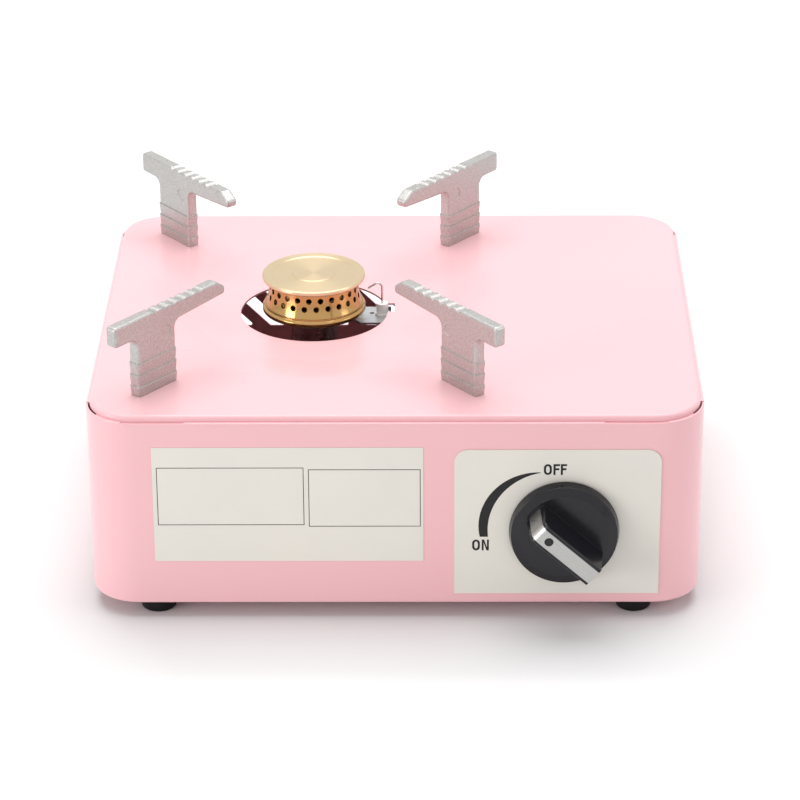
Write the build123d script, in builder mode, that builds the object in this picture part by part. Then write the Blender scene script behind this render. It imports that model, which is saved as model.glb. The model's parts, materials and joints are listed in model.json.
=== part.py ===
from build123d import *

import os
from math import atan, cos, degrees, pi, radians, sin, tan

# ---------------------------------------------------------------- driving dimensions (mm)
# Pressed steel body
body_width = 245.0
body_depth = 210.0
body_height = 80.0
sheet = 0.8
body_corner = 20.0
floor_bend = 1.2
flange_reach = 10.0
front_flange_length = 235.0
side_flange_length = 170.0
front_relief_start = 82.5
front_relief_length = 25.0
side_relief_length = 3.0
relief_depth = 0.35
rim_round = 0.5

# Rubber feet
foot_height = 6.5
foot_radius = 7.5
foot_draft = 0.5
foot_round = 1.2
foot_inset_x = 26.7
foot_inset_y = 11.2
foot_stem_radius = 3.0
foot_stem_fit = 0.1
foot_barb = 0.8
foot_barb_height = 3.0

# Top plate
plate_inset = 1.5
plate_rise = 2.5
plate_edge_round = 1.6
dish_outer_radius = 68.0
dish_inner_radius = 50.0
dish_depth = 1.0
dish_blend = 24.0
dish_margin = 4.0
burner_hole_radius = 30.7
notch_reach = 33.6
notch_half_width = 4.4
stud_radius = 1.5
stud_length = 6.0
stud_fit = 0.15
stud_inset = 5.5
stud_spread = 130.0
nut_across_flats = 5.5
nut_height = 2.4

# Rear wall vents and canister port
vent_count = 6
vent_pitch = 14.5
vent_width = 7.3
vent_offset = 38.4
vent_bottom = 28.3
vent_rise = 30.0
vent_round = 0.8
canister_radius = 33.5
canister_height = 40.5
port_clearance = 2.5
port_lip = 4.0

# Burner head
burner_inset = 88.0
burner_lift = 0.6
cap_radius = 21.4
cap_thickness = 2.0
cap_rim_width = 4.0
cap_rim_rise = 0.3
cap_rim_slope = 0.4
cap_rim_round = 0.7
cap_disc_radius = 8.6
cap_disc_rise = 0.25
cap_spigot_depth = 2.2
cap_spigot_wall = 1.0
cap_web = 1.0
band_top_radius = 18.3
band_mid_radius = 18.9
band_foot_radius = 20.2
band_mid_height = 4.5
band_wall = 1.0
band_height = 10.7
band_hole_radius = 1.2
band_holes = 24
band_row_low = 3.9
band_row_high = 7.35
band_angle_low = 4.6
band_angle_high = 10.3
base_height = 3.3
base_radius = 21.5
base_lip_radius = 20.7
base_lip_height = 1.4
base_edge_round = 0.6
base_shell = 1.2
base_boss_wall = 2.0
base_boss_height = 5.0

# Burner neck, mixing tube and stand
neck_radius = 9.7
neck_wall = 1.3
neck_engagement = 1.0
neck_fit = 0.05
plug_thickness = 2.0
mixing_height = 27.0
mixing_radius = 7.0
mixing_wall = 1.0
mixing_end_wall = 2.0
air_window_length = 10.0
air_window_height = 7.0
air_window_gap = 3.0
stand_width = 40.0
stand_depth = 44.0
stand_height = 10.0
stand_sheet = 1.2
stand_foot = 10.0

# Ignition electrode
electrode_reach = 28.4
electrode_back = 3.6
ceramic_radius = 2.6
ceramic_top_radius = 2.45
ceramic_above_bracket = 5.1
ceramic_below_bracket = 8.0
ceramic_collar_radius = 3.05
ceramic_collar_height = 0.8
ceramic_above_plate = 1.2
electrode_wire_radius = 0.45
electrode_rise = 10.3
electrode_tip_in = 5.8
electrode_tip_drop = 3.6
electrode_bend = 1.75
bracket_sheet = 1.0
bracket_front = 8.8
bracket_back = 7.4
bracket_end = 3.6
bracket_bevel_in = 9.2
bracket_waist_in = 12.5
bracket_waist_front = 3.8
bracket_root_front = 2.1
bracket_tab = 6.0
bracket_hole_radius = 0.9
bracket_hole_in = 4.4
bracket_hole_back = 0.9

# Pot supports
support_angle = 51.2
support_leg_in = 87.2
support_leg_width = 21.8
support_arm_in = 29.9
support_arm_out = 12.5
support_height = 34.0
support_thickness = 5.0
support_arm_tip = 27.6
support_arm_root = 25.9
support_arm_outer = 25.3
support_chamfer_run = 4.7
support_chamfer_drop = 3.3
support_fillet_in = 3.6
support_fillet_out = 3.6
support_corner = 1.5
support_edge = 1.0
valley_count = 6
valley_inset = 14.7
valley_pitch = 5.18
hump_radius = 3.0
hump_drop = 0.15
tier_count = 3
tier_pitch = 5.1
tier_first = 4.1
tier_step = 0.45
ejector_inset = 5.1
ejector_height = 23.2
ejector_radius = 2.5
ejector_depth = 0.2
tenon_length = 14.0
tenon_thickness = 3.2
tenon_depth = 9.0
tenon_clearance = 0.2
socket_wall = 1.0

# Knob, spindle and plates on the front
knob_inset = 55.5
knob_height = 33.0
knob_gap = 0.7
knob_radius = 21.9
knob_front_radius = 21.1
knob_disc_depth = 3.9
knob_disc_round = 0.5
knob_reach = 22.0
knob_face_radius = 17.6
knob_face_rise = 1.4
knob_skirt_wall = 1.6
knob_web = 1.2
knob_hub_radius = 5.5
knob_socket_depth = 12.0
grip_half_length = 15.8
grip_width = 10.6
grip_front_width = 8.8
grip_bend = 3.4
grip_edge = 0.6
insert_width = 6.2
insert_thickness = 0.6
insert_proud = 0.2
insert_dot_radius = 1.8
insert_dot_place = 9.0
pointer_angle = 138.0
spindle_radius = 3.0
spindle_flat = 2.2
spindle_tip_gap = 1.0
spindle_engagement = 14.0
spindle_wall_clearance = 1.5
running_fit = 0.05
control_plate_inset = 58.25
control_plate_centre = 36.6
control_plate_width = 81.5
control_plate_height = 63.8
control_plate_thickness = 0.5
control_plate_corner = 5.5
label_inset = 26.8
label_gap = 12.2
label_centre = 44.4
label_height = 50.2
label_thickness = 0.2

# Gas regulator
regulator_width = 34.0
regulator_depth = 30.0
regulator_bottom = 16.0
regulator_top = 56.0
regulator_stand_off = 10.0
regulator_edge = 2.0
post_radius = 4.0
post_side = 11.5
post_rise = 12.0
passage_radius = 1.2
passage_offset = 2.7
chamber_radius = 9.0
chamber_depth = 2.5
chamber_flange_radius = 15.5
chamber_flange_height = 3.5
chamber_margin = 0.5
diaphragm_thickness = 1.0
cover_flange = 1.6
cover_wall = 1.2
cover_height = 10.0
cover_round = 1.0
cover_screw_circle = 13.1
cover_screw_count = 4
cover_screw_angle = 45.0
spring_coil_radius = 3.6
spring_wire_radius = 0.5
spring_turns = 4.0
adjuster_radius = 5.0
adjuster_depth = 3.6
adjuster_proud = 1.0
adjuster_slot = 1.2
inlet_radius = 4.0
inlet_reach = 6.5
seal_outer_radius = 6.0
seal_thickness = 2.0
magnet_outer = 22.0
magnet_inner = 13.0
magnet_thickness = 5.0
holder_wall = 1.2
holder_screw_spread = 17.0
guide_pin_width = 3.0
guide_pin_thickness = 1.5
guide_pin_reach = 6.0
guide_pin_place = 10.0
o_ring_section = 0.7
retaining_ring_radius = 5.0
retaining_ring_thickness = 0.8
retaining_ring_gap = 0.1
needle_radius = 2.0
needle_tip_radius = 0.6
needle_length = 9.0
needle_taper = 3.0
needle_gap = 1.5

# Ignition cam and piezo unit
cam_thickness = 3.5
cam_mid_radius = 7.2
cam_lift_per_radian = 2.41
cam_start = 110
cam_end = 250
cam_step = 10
cam_heel_radius = 5.2
cam_clearance = 0.35
piezo_length = 26.0
piezo_width = 9.0
piezo_tall = 9.0
piezo_round = 1.0
plunger_radius = 2.6
plunger_tip_round = 2.4
plunger_out = 8.0
plunger_in = 9.0
plunger_room = 3.0
plunger_fit = 0.08
clip_sheet = 1.0
clip_width = 8.0
clip_flange = 5.0
clip_place = 9.0

# Gas pipe, jet and ignition lead
pipe_radius = 2.0
pipe_bore = 1.2
pipe_bend = 13.0
pipe_run = 21.2
union_across_flats = 9.0
union_length = 7.0
jet_across_flats = 10.0
jet_length = 12.0
jet_spigot_radius = 2.5
jet_spigot_length = 3.0
jet_orifice = 0.35
lead_radius = 1.25
lead_arc_share = 0.45
lead_from_piezo = [(0, 0, 0), (-16, 0, 0), (-28, 21, 6), (-31, 48, 9)]
lead_to_electrode = [(-2, -25, -25), (0, 0, -22), (0, 0, 0)]

# Fasteners
screw_radius = 1.5
screw_head_radius = 2.8
screw_head_height = 1.5
chassis_screw_length = 4.0
regulator_screw_length = 7.0
small_screw_radius = 1.25
small_screw_head_radius = 2.0
small_screw_head_height = 1.2
small_screw_length = 5.5

# Canister cradle and heat shield
cradle_length = 150.0
cradle_margin = 8.0
cradle_base_half = 11.0
cradle_top_half = 17.0
cradle_height = 8.0
cradle_sheet = 1.0
cradle_screw_inset = 30.0
shield_offset = 41.0
shield_sheet = 0.8
shield_height = 66.0
shield_foot = 8.0
shield_length = 145.0
shield_margin = 10.0
shield_screw_inset = 22.0

# ---------------------------------------------------------------- places that follow
body_y = knob_reach / 2
front_y = body_y - body_depth / 2
back_y = body_y + body_depth / 2
inner_front_y = front_y + sheet
inner_back_y = back_y - sheet
floor_z = foot_height
floor_top = floor_z + sheet
rim_z = floor_z + body_height
plate_z = rim_z + plate_rise
plate_under = plate_z - sheet
dish_z = plate_z - dish_depth

knob_x = body_width / 2 - knob_inset
canister_x = knob_x
shield_x = canister_x - shield_offset
control_plate_x = body_width / 2 - control_plate_inset
label_left_x = label_inset - body_width / 2
label_right_x = control_plate_x - control_plate_width / 2 - label_gap
label_width = label_right_x - label_left_x

burner_x = burner_inset - body_width / 2
burner_y = body_y
vent_first_x = burner_x - vent_offset
base_z = plate_z + burner_lift
band_z = base_z + base_height
cap_z = band_z + band_height
neck_bottom_z = floor_top + stand_height
neck_top_z = base_z + neck_engagement
mixing_z = floor_z + mixing_height
mixing_end_y = burner_y - neck_radius / 2

electrode_x = burner_x + electrode_reach
electrode_y = burner_y + electrode_back
ceramic_top_z = plate_z + ceramic_above_plate
bracket_z = ceramic_top_z - ceramic_above_bracket
ceramic_bottom_z = bracket_z - ceramic_below_bracket

support_leg_out = support_leg_in + support_leg_width
support_inner = support_leg_in - support_arm_in
support_outer = support_leg_out + support_arm_out
valley_first = support_inner + valley_inset
ejector_place = support_leg_in + ejector_inset

spindle_z = floor_z + knob_height
canister_z = floor_z + canister_height
port_radius = canister_radius + port_clearance
plate_front_y = front_y - control_plate_thickness
knob_back_y = plate_front_y - knob_gap
knob_rim_y = knob_back_y - knob_disc_depth
knob_face_y = knob_rim_y - knob_face_rise
grip_front_y = front_y - knob_reach + insert_proud
spindle_tip_y = knob_back_y - knob_socket_depth + spindle_tip_gap

regulator_front_y = inner_front_y + regulator_stand_off
regulator_back_y = regulator_front_y + regulator_depth
regulator_low_z = floor_z + regulator_bottom
regulator_high_z = floor_z + regulator_top
regulator_left_x = knob_x - regulator_width / 2
chamber_y = regulator_back_y - chamber_flange_radius - chamber_margin
diaphragm_z = regulator_high_z + chamber_flange_height
cover_z = diaphragm_z + diaphragm_thickness
spindle_end_y = regulator_front_y + spindle_engagement
needle_front_y = spindle_end_y + needle_gap
pipe_y = (regulator_front_y + regulator_back_y) / 2
pipe_z = mixing_z
jet_end_y = pipe_y + pipe_run
mixing_mouth_y = jet_end_y + jet_length
post_places = [
    (knob_x - post_side, spindle_z + post_rise),
    (knob_x + post_side, spindle_z - post_rise),
]
holder_screw_places = [
    (canister_x - holder_screw_spread / 2, canister_z),
    (canister_x + holder_screw_spread / 2, canister_z),
]

piezo_y = inner_front_y + piezo_width / 2
plunger_tip_x = knob_x - cam_mid_radius - cam_clearance
piezo_right_x = plunger_tip_x - plunger_out
piezo_left_x = piezo_right_x - piezo_length

foot_places = [
    (side * (body_width / 2 - foot_inset_x), body_y + end * (body_depth / 2 - foot_inset_y))
    for end in (-1, 1)
    for side in (-1, 1)
]
stud_places = [
    (side * (body_width / 2 - stud_inset), body_y + end * stud_spread / 2)
    for end in (-1, 1)
    for side in (-1, 1)
]
cradle_back_y = inner_back_y - cradle_margin
shield_back_y = inner_back_y - shield_margin
stand_screws = [
    (burner_x - (stand_width + stand_foot) / 2, burner_y),
    (burner_x + (stand_width + stand_foot) / 2, burner_y),
]
cradle_screws = [
    (canister_x, cradle_back_y - cradle_screw_inset),
    (canister_x, cradle_back_y - cradle_length + cradle_screw_inset),
]
shield_screws = [
    (shield_x - shield_foot / 2, shield_back_y - shield_screw_inset),
    (shield_x - shield_foot / 2, shield_back_y - shield_length + shield_screw_inset),
]
chassis_screw_places = stand_screws + cradle_screws + shield_screws

os.makedirs("parts", exist_ok=True)


def save(builder, label):
    """Label a finished piece and write it as its own STEP file."""
    builder.part.label = label
    export_step(builder.part, "parts/" + label + ".step")


def facing_front(y):
    """Upright sketch plane at y: local x is +X, local y is +Z, its normal points to -Y."""
    return Plane(origin=(0, y, 0), x_dir=(1, 0, 0), z_dir=(0, -1, 0))


def radial_plane(angle):
    """Upright plane on the burner axis at plate height: local x runs outwards, local y up."""
    outward = (cos(radians(angle)), sin(radians(angle)), 0)
    sideways = (sin(radians(angle)), -cos(radians(angle)), 0)
    return Plane(origin=(burner_x, burner_y, plate_z), x_dir=outward, z_dir=sideways)


def leg_plane(angle, height):
    """Level plane under one pot support leg: local x runs outwards, origin mid-leg."""
    middle = (support_leg_in + support_leg_out) / 2
    outward = (cos(radians(angle)), sin(radians(angle)), 0)
    place = (burner_x + middle * outward[0], burner_y + middle * outward[1], height)
    return Plane(origin=place, x_dir=outward, z_dir=(0, 0, 1))


def knob_plane(y):
    """Plane at y with its origin on the spindle axis and local x towards the pointer."""
    along = (cos(radians(pointer_angle)), 0, sin(radians(pointer_angle)))
    return Plane(origin=(knob_x, y, spindle_z), x_dir=along, z_dir=(0, -1, 0))


# ---------------------------------------------------------------- body shell
with BuildPart() as body_shell:
    with BuildSketch(Plane.XY.offset(floor_z)):
        with Locations((0, body_y)):
            RectangleRounded(body_width, body_depth, body_corner)
    extrude(amount=body_height)
    fillet(body_shell.faces().sort_by(Axis.Z)[0].edges(), floor_bend)
    offset(amount=-sheet, openings=body_shell.faces().sort_by(Axis.Z)[-1])
    # Inward flanges along the four sides of the rim
    with BuildSketch(Plane.XY.offset(rim_z - sheet)):
        with Locations((0, front_y + flange_reach / 2), (0, back_y - flange_reach / 2)):
            Rectangle(front_flange_length, flange_reach)
        with Locations(
            (-(body_width - flange_reach) / 2, body_y),
            ((body_width - flange_reach) / 2, body_y),
        ):
            Rectangle(flange_reach, side_flange_length)
        with Locations((0, body_y)):
            RectangleRounded(body_width, body_depth, body_corner, mode=Mode.INTERSECT)
    extrude(amount=sheet)
    fillet(body_shell.faces().sort_by(Axis.Z)[-1].outer_wire().edges(), rim_round)
    # Relief notches in the rim towards the corners
    with BuildSketch(Plane.XY.offset(rim_z)):
        for side in (-1, 1):
            for wall_y in (front_y, back_y):
                relief_x = side * (front_relief_start + front_relief_length / 2)
                with Locations((relief_x, wall_y)):
                    Rectangle(front_relief_length, 4 * sheet)
            for end in (-1, 1):
                relief_y = body_y + end * (side_flange_length + side_relief_length) / 2
                with Locations((side * body_width / 2, relief_y)):
                    Rectangle(8 * sheet, side_relief_length)
    extrude(amount=-relief_depth, mode=Mode.SUBTRACT)
    # Holes for the plate studs, the feet and the chassis screws
    with BuildSketch(Plane.XY.offset(rim_z)):
        with Locations(*stud_places):
            Circle(stud_radius + stud_fit)
    extrude(amount=-sheet, mode=Mode.SUBTRACT)
    with BuildSketch(Plane.XY.offset(floor_z)):
        with Locations(*foot_places):
            Circle(foot_stem_radius + foot_stem_fit)
        with Locations(*chassis_screw_places):
            Circle(screw_radius)
    extrude(amount=sheet, mode=Mode.SUBTRACT)
    # Diagonal vents in the rear wall
    with BuildSketch(facing_front(back_y)) as vents:
        for index in range(vent_count):
            low_x = vent_first_x + index * vent_pitch
            low_z = floor_z + vent_bottom
            with BuildLine():
                Polyline(
                    (low_x, low_z),
                    (low_x + vent_width, low_z),
                    (low_x + vent_width - vent_rise, low_z + vent_rise),
                    (low_x - vent_rise, low_z + vent_rise),
                    close=True,
                )
            make_face()
        fillet(vents.vertices(), vent_round)
    extrude(amount=sheet, mode=Mode.SUBTRACT)
    # Canister port with a lip formed inwards
    with BuildSketch(facing_front(inner_back_y)):
        with Locations((canister_x, canister_z)):
            Circle(port_radius + sheet)
    extrude(amount=port_lip - sheet)
    with BuildSketch(facing_front(back_y)):
        with Locations((canister_x, canister_z)):
            Circle(port_radius)
    extrude(amount=port_lip, mode=Mode.SUBTRACT)
    # Front wall holes for the spindle and the regulator screws
    with BuildSketch(facing_front(inner_front_y)):
        with Locations((knob_x, spindle_z)):
            Circle(spindle_radius + spindle_wall_clearance)
        with Locations(*post_places):
            Circle(screw_radius)
    extrude(amount=sheet, mode=Mode.SUBTRACT)
save(body_shell, "body_shell")

# ---------------------------------------------------------------- rubber feet
foot_names = ["foot_front_left", "foot_front_right", "foot_back_left", "foot_back_right"]
for foot_name, (foot_x, foot_y) in zip(foot_names, foot_places):
    with BuildPart() as foot:
        with BuildSketch(facing_front(foot_y)) as foot_section:
            with BuildLine():
                Polyline(
                    (foot_x, 0),
                    (foot_x + foot_radius - foot_draft, 0),
                    (foot_x + foot_radius, floor_z),
                    (foot_x + foot_stem_radius, floor_z),
                    (foot_x + foot_stem_radius, floor_top),
                    (foot_x + foot_stem_radius + foot_barb, floor_top),
                    (foot_x + foot_stem_radius - foot_barb, floor_top + foot_barb_height),
                    (foot_x, floor_top + foot_barb_height),
                    close=True,
                )
            make_face()
            fillet(foot_section.vertices().group_by(Axis.Y)[0].sort_by(Axis.X)[-1], foot_round)
        revolve(axis=Axis((foot_x, foot_y, 0), (0, 0, 1)))
    save(foot, foot_name)

# ---------------------------------------------------------------- top plate
support_angles = [180 + support_angle, -support_angle, 180 - support_angle, support_angle]
support_places = ["front_left", "front_right", "back_left", "back_right"]
dish_rim_radius = dish_outer_radius + dish_margin

with BuildPart() as top_plate:
    with BuildSketch(Plane.XY.offset(rim_z)):
        with Locations((0, body_y)):
            RectangleRounded(
                body_width - 2 * plate_inset,
                body_depth - 2 * plate_inset,
                body_corner - plate_inset,
            )
    extrude(amount=plate_rise)
    fillet(top_plate.faces().sort_by(Axis.Z)[-1].edges(), plate_edge_round)
    offset(amount=-sheet, openings=top_plate.faces().sort_by(Axis.Z)[0])
    # Shallow dish pressed round the burner hole
    with BuildSketch(Plane.XY.offset(plate_z)):
        with Locations((burner_x, burner_y)):
            Circle(dish_rim_radius)
    extrude(amount=-sheet, mode=Mode.SUBTRACT)
    with BuildSketch(facing_front(burner_y)) as dish_section:
        with BuildLine():
            Polyline(
                (burner_x + dish_rim_radius, plate_z),
                (burner_x + dish_outer_radius, plate_z),
                (burner_x + dish_inner_radius, dish_z),
                (burner_x + burner_hole_radius, dish_z),
                (burner_x + burner_hole_radius, dish_z - sheet),
                (burner_x + dish_inner_radius, dish_z - sheet),
                (burner_x + dish_outer_radius, plate_under),
                (burner_x + dish_rim_radius, plate_under),
                close=True,
            )
        make_face()
        bends = dish_section.vertices().sort_by(Axis.X)[2:6]
        fillet(bends, dish_blend)
    revolve(axis=Axis((burner_x, burner_y, 0), (0, 0, 1)))
    # Notch in the burner hole for the electrode
    with BuildSketch(Plane.XY.offset(plate_z)):
        with Locations((burner_x + notch_reach / 2, electrode_y)):
            Rectangle(notch_reach, 2 * notch_half_width)
    extrude(amount=-(dish_depth + 2 * sheet), mode=Mode.SUBTRACT)
    # Slots for the tenons of the pot supports
    for angle in support_angles:
        with BuildSketch(leg_plane(angle, plate_z)):
            Rectangle(tenon_length + 2 * tenon_clearance, tenon_thickness + 2 * tenon_clearance)
        extrude(amount=-sheet, mode=Mode.SUBTRACT)
    # Welded studs that pass through the body flanges
    with BuildSketch(Plane.XY.offset(plate_under)):
        with Locations(*stud_places):
            Circle(stud_radius)
    extrude(amount=-stud_length)
save(top_plate, "top_plate")

with BuildPart() as plate_nuts:
    with BuildSketch(Plane.XY.offset(rim_z - sheet)):
        with Locations(*stud_places):
            RegularPolygon(nut_across_flats / 2, 6, major_radius=False)
            Circle(stud_radius, mode=Mode.SUBTRACT)
    extrude(amount=-nut_height)
save(plate_nuts, "plate_nuts")

# ---------------------------------------------------------------- pot supports and sockets
tier_taper = degrees(atan(tier_step / tier_pitch))
leg_length = support_leg_out - support_leg_in
for angle, place in zip(support_angles, support_places):
    with BuildPart() as pot_support:
        with BuildSketch(radial_plane(angle)):
            with BuildLine():
                FilletPolyline(
                    (support_leg_in, 0),
                    (support_leg_in, support_arm_root),
                    (support_inner, support_arm_tip),
                    (support_inner, support_height - support_chamfer_drop),
                    (support_inner + support_chamfer_run, support_height),
                    (support_outer, support_height),
                    (support_outer, support_arm_outer),
                    (support_leg_out, support_arm_outer),
                    (support_leg_out, 0),
                    radius=[
                        support_fillet_in,
                        support_corner,
                        support_corner,
                        support_corner,
                        support_corner,
                        support_corner,
                        support_fillet_out,
                    ],
                )
                Line((support_leg_out, 0), (support_leg_in, 0))
            make_face()
        extrude(amount=support_thickness / 2, both=True)
        broad_faces = pot_support.faces().sort_by(SortBy.AREA)[-2:]
        fillet(broad_faces.edges(), support_edge)
        # Row of round humps along the top, with sharp valleys between them
        with BuildSketch(radial_plane(angle)):
            row_start = valley_first - valley_pitch / 2
            row_length = valley_count * valley_pitch
            with Locations((row_start + row_length / 2, support_height)):
                Rectangle(row_length, 2 * hump_radius)
            for index in range(valley_count + 1):
                hump_height = support_height - hump_drop - hump_radius
                with Locations((row_start + index * valley_pitch, hump_height)):
                    Circle(hump_radius, mode=Mode.SUBTRACT)
        extrude(amount=support_thickness, both=True, mode=Mode.SUBTRACT)
        # Ejector marks on both broad faces
        for face_side in (-1, 1):
            mark_plane = radial_plane(angle).offset(face_side * support_thickness / 2)
            with BuildSketch(mark_plane):
                with Locations((ejector_place, ejector_height)):
                    Circle(ejector_radius)
            extrude(amount=-face_side * ejector_depth, mode=Mode.SUBTRACT)
        # Stepped tiers round the lower half of the leg, each wider at its top
        for index in range(tier_count):
            tier_height = tier_pitch if index else tier_first
            with BuildSketch(leg_plane(angle, plate_z + tier_first + index * tier_pitch)):
                RectangleRounded(
                    leg_length + 2 * tier_step,
                    support_thickness + 2 * tier_step,
                    support_edge + tier_step,
                )
            extrude(amount=-tier_height, taper=tier_taper)
        # Tenon that drops through the plate
        with BuildSketch(leg_plane(angle, plate_z)):
            Rectangle(tenon_length, tenon_thickness)
        extrude(amount=-tenon_depth)
    save(pot_support, "pot_support_" + place)

    with BuildPart() as support_socket:
        with BuildSketch(leg_plane(angle, plate_under)):
            Rectangle(
                tenon_length + 2 * (tenon_clearance + socket_wall),
                tenon_thickness + 2 * (tenon_clearance + socket_wall),
            )
            Rectangle(
                tenon_length + 2 * tenon_clearance,
                tenon_thickness + 2 * tenon_clearance,
                mode=Mode.SUBTRACT,
            )
        extrude(amount=-tenon_depth)
    save(support_socket, "support_socket_" + place)

# ---------------------------------------------------------------- burner head
burner_axis = Axis((burner_x, burner_y, 0), (0, 0, 1))
band_inner_top = band_top_radius - band_wall
cap_top_z = cap_z + cap_thickness
cap_field_z = cap_top_z - cap_rim_rise
cap_disc_z = cap_field_z + cap_disc_rise
cap_web_z = cap_field_z - cap_web
rim_inner = cap_radius - cap_rim_width
with BuildPart() as burner_cap:
    with BuildSketch(facing_front(burner_y)) as cap_section:
        with BuildLine():
            Polyline(
                (burner_x, cap_web_z),
                (burner_x + band_inner_top - cap_spigot_wall, cap_web_z),
                (burner_x + band_inner_top - cap_spigot_wall, cap_z - cap_spigot_depth),
                (burner_x + band_inner_top, cap_z - cap_spigot_depth),
                (burner_x + band_inner_top, cap_z),
                (burner_x + cap_radius, cap_z),
                (burner_x + cap_radius, cap_top_z),
                (burner_x + rim_inner, cap_top_z),
                (burner_x + rim_inner - cap_rim_slope, cap_field_z),
                (burner_x + cap_disc_radius + cap_disc_rise, cap_field_z),
                (burner_x + cap_disc_radius, cap_disc_z),
                (burner_x, cap_disc_z),
                close=True,
            )
        make_face()
        fillet(cap_section.vertices().group_by(Axis.X)[-1], cap_rim_round)
    revolve(axis=burner_axis)
save(burner_cap, "burner_cap")

with BuildPart() as burner_band:
    with BuildSketch(facing_front(burner_y)):
        with BuildLine():
            mid_z = band_z + band_mid_height
            foot_out = (burner_x + band_foot_radius, band_z)
            mid_out = (burner_x + band_mid_radius, mid_z)
            top_out = (burner_x + band_top_radius, cap_z)
            foot_in = (burner_x + band_foot_radius - band_wall, band_z)
            mid_in = (burner_x + band_mid_radius - band_wall, mid_z)
            top_in = (burner_x + band_inner_top, cap_z)
            ThreePointArc(foot_out, mid_out, top_out)
            Line(top_out, top_in)
            ThreePointArc(top_in, mid_in, foot_in)
            Line(foot_in, foot_out)
        make_face()
    revolve(axis=burner_axis)
    rows = ((band_row_low, band_angle_low), (band_row_high, band_angle_high))
    for row_height, row_angle in rows:
        with Locations((burner_x, burner_y, band_z + row_height)):
            with PolarLocations(band_mid_radius, band_holes, start_angle=row_angle):
                Cylinder(band_hole_radius, 5 * band_wall, rotation=(0, 90, 0), mode=Mode.SUBTRACT)
save(burner_band, "burner_band")

boss_radius = neck_radius + base_boss_wall
neck_bore_radius = neck_radius - neck_wall
lip_step = base_radius - base_lip_radius
with BuildPart() as burner_base:
    with BuildSketch(facing_front(burner_y)) as base_section:
        with BuildLine():
            Polyline(
                (burner_x + neck_radius + neck_fit, base_z),
                (burner_x + base_radius, base_z),
                (burner_x + base_radius, band_z - base_lip_height),
                (burner_x + base_lip_radius, band_z - base_lip_height + lip_step),
                (burner_x + base_lip_radius, band_z),
                (burner_x + band_foot_radius - band_wall, band_z),
                (burner_x + band_foot_radius - band_wall - base_shell, base_z + base_shell),
                (burner_x + boss_radius, base_z + base_shell),
                (burner_x + boss_radius, base_z + base_boss_height),
                (burner_x + neck_bore_radius, base_z + base_boss_height),
                (burner_x + neck_bore_radius, neck_top_z),
                (burner_x + neck_radius + neck_fit, neck_top_z),
                close=True,
            )
        make_face()
        rim_corners = base_section.vertices().group_by(Axis.X)[-1]
        fillet(rim_corners, base_edge_round)
    revolve(axis=burner_axis)
save(burner_base, "burner_base")

# ---------------------------------------------------------------- neck, mixing tube and stand
with BuildPart() as burner_neck:
    with BuildSketch(Plane.XY.offset(neck_bottom_z)):
        with Locations((burner_x, burner_y)):
            Circle(neck_radius)
            Circle(neck_bore_radius, mode=Mode.SUBTRACT)
    extrude(amount=neck_top_z - neck_bottom_z)
    with BuildSketch(facing_front(burner_y)):
        with Locations((burner_x, mixing_z)):
            Circle(mixing_radius)
    extrude(amount=2 * neck_radius, mode=Mode.SUBTRACT)
save(burner_neck, "burner_neck")

with BuildPart() as neck_plug:
    with BuildSketch(Plane.XY.offset(neck_bottom_z)):
        with Locations((burner_x, burner_y)):
            Circle(neck_bore_radius)
    extrude(amount=plug_thickness)
save(neck_plug, "neck_plug")

mixing_length = mixing_end_y - mixing_mouth_y
with BuildPart() as mixing_tube:
    with BuildSketch(facing_front(mixing_end_y)):
        with Locations((burner_x, mixing_z)):
            Circle(mixing_radius)
    extrude(amount=mixing_length)
    with BuildSketch(facing_front(mixing_end_y)):
        with Locations((burner_x, mixing_z)):
            Circle(mixing_radius - mixing_wall)
    extrude(amount=mixing_length - mixing_end_wall, mode=Mode.SUBTRACT)
    # Seat for the jet and two air windows beside it
    with BuildSketch(facing_front(mixing_mouth_y + mixing_end_wall)):
        with Locations((burner_x, mixing_z)):
            Circle(jet_spigot_radius)
    extrude(amount=mixing_end_wall, mode=Mode.SUBTRACT)
    window_y = mixing_mouth_y + mixing_end_wall + air_window_gap + air_window_length / 2
    with Locations((burner_x, window_y, mixing_z)):
        Box(4 * mixing_radius, air_window_length, air_window_height, mode=Mode.SUBTRACT)
save(mixing_tube, "mixing_tube")

with BuildPart() as burner_stand:
    deck_half = stand_width / 2
    step_half = deck_half - stand_sheet
    foot_half = deck_half + stand_foot
    with BuildSketch(facing_front(burner_y + stand_depth / 2)):
        with BuildLine():
            Polyline(
                (burner_x - foot_half, floor_top),
                (burner_x - step_half, floor_top),
                (burner_x - step_half, neck_bottom_z - stand_sheet),
                (burner_x + step_half, neck_bottom_z - stand_sheet),
                (burner_x + step_half, floor_top),
                (burner_x + foot_half, floor_top),
                (burner_x + foot_half, floor_top + stand_sheet),
                (burner_x + deck_half, floor_top + stand_sheet),
                (burner_x + deck_half, neck_bottom_z),
                (burner_x - deck_half, neck_bottom_z),
                (burner_x - deck_half, floor_top + stand_sheet),
                (burner_x - foot_half, floor_top + stand_sheet),
                close=True,
            )
        make_face()
    extrude(amount=stand_depth)
    with BuildSketch(Plane.XY.offset(floor_top)):
        with Locations(*stand_screws):
            Circle(screw_radius)
    extrude(amount=stand_sheet, mode=Mode.SUBTRACT)
save(burner_stand, "burner_stand")

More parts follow.
